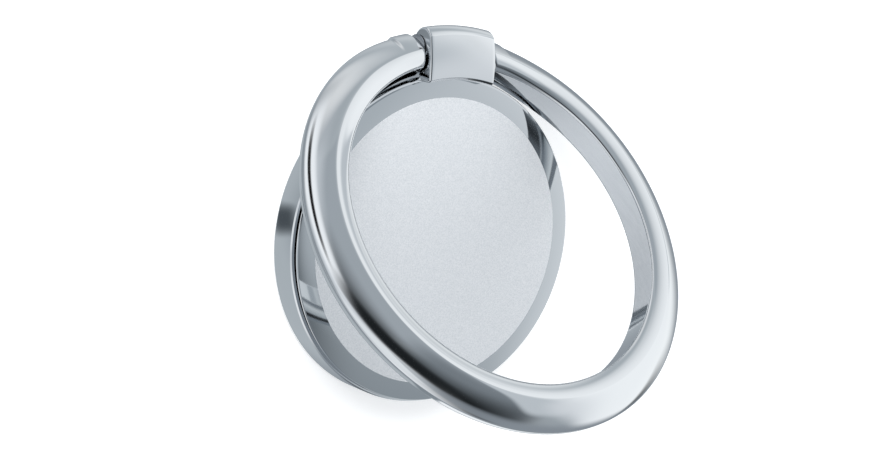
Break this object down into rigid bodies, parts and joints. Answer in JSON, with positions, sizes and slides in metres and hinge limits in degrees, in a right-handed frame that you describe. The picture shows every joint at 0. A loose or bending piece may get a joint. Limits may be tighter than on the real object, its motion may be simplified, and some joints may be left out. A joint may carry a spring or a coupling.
{
  "type": "phone ring holder",
  "caption": "Round stick-on phone grip with a swivelling metal face plate and a folding finger ring on a friction hinge.",
  "frame": {"origin": "centre of the adhesive face, on the face that meets the phone", "axes": "+Z away from the phone, +Y towards the hinge, X along the hinge pin"},
  "size_m": [0.0474, 0.0422, 0.0304],
  "materials": {
    "chrome_plated_zinc": "polished die casting, bright plated",
    "sandblasted_aluminium": "fine sandblasted face with a bright cut bevel",
    "bright_steel": "bright drawn and stamped steel",
    "ptfe": "smooth low-friction sheet",
    "adhesive_foam": "matt foam tape"
  },
  "bodies": {
    "base": {"base_plate": "chrome_plated_zinc", "adhesive_pad": "adhesive_foam", "friction_washer": "ptfe", "centre_rivet": "bright_steel", "spring_washer": "bright_steel"},
    "swivel": {"swivel_plate": "chrome_plated_zinc", "face_plate": "sandblasted_aluminium", "hinge_sleeve": "bright_steel"},
    "ring": {"finger_ring": "chrome_plated_zinc", "hinge_pin": "bright_steel", "hinge_washer_left": "bright_steel", "hinge_washer_right": "bright_steel"}
  },
  "joints": [
    {"name": "swivel_turn", "type": "hinge", "parent": "base", "child": "swivel", "pos_m": [0, 0, 0], "axis": [0, 0, 1], "continuous": true},
    {"name": "ring_hinge", "type": "hinge", "parent": "swivel", "child": "ring", "pos_m": [0, 0.021, 0.0037], "axis": [-1, 0, 0], "range_deg": [-36.84, 143.16]}
  ]
}
